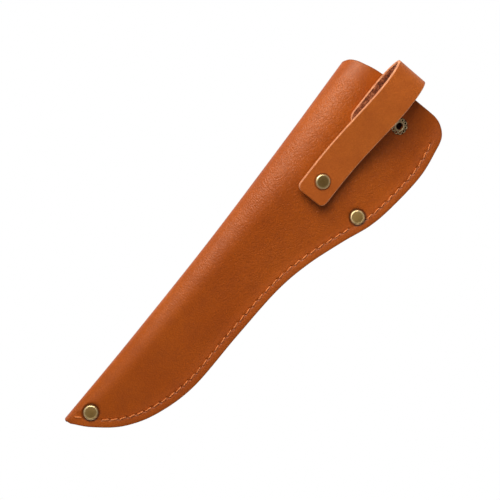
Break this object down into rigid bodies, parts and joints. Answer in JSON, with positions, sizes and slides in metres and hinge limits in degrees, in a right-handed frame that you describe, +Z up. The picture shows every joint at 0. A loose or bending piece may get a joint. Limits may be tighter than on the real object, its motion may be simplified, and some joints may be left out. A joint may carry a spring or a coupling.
{
  "type": "knife sheath",
  "caption": "Long tan leather sheath for a garden knife, folded along one edge and stitched along the other, with riveted ends and a snap-closed belt loop.",
  "frame": {"origin": "on the flat back face, under the middle of the blade pocket", "axes": "+X from the tip to the mouth, +Y towards the folded edge, +Z up from the back face towards the belt loop"},
  "size_m": [0.2909, 0.0804, 0.0345],
  "materials": {
    "tan_leather": "fine grain, satin",
    "strap_leather": "fine grain, satin; flesh side rough and dark",
    "welt_leather": "cut edge, burnished",
    "thread": "waxed twisted thread",
    "antique_brass": "aged, satin, bright at the rim",
    "aged_brass": "aged, dull",
    "dark_brass": "blackened",
    "spring_steel": "drawn wire"
  },
  "bodies": {
    "root": {"sheath_body": "tan_leather", "edge_welt": "welt_leather", "top_thread": "thread", "bobbin_thread": "thread", "belt_strap_anchor": "strap_leather", "tip_rivet_cap": "antique_brass", "tip_rivet_base": "antique_brass", "throat_rivet_cap": "antique_brass", "throat_rivet_base": "antique_brass", "strap_rivet_cap": "antique_brass", "strap_rivet_base": "antique_brass", "snap_stud": "antique_brass", "snap_post": "antique_brass", "lanyard_eyelet": "aged_brass", "eyelet_washer": "dark_brass"},
    "flap": {"belt_strap_flap": "strap_leather", "snap_cap": "antique_brass", "snap_socket": "antique_brass", "snap_spring": "spring_steel"}
  },
  "joints": [
    {"name": "belt_loop_opening", "type": "hinge", "parent": "root", "child": "flap", "pos_m": [0.1444, -0.0083, 0.02379], "axis": [0, 0.9836, 0.1805], "range_deg": [0, 120]}
  ]
}
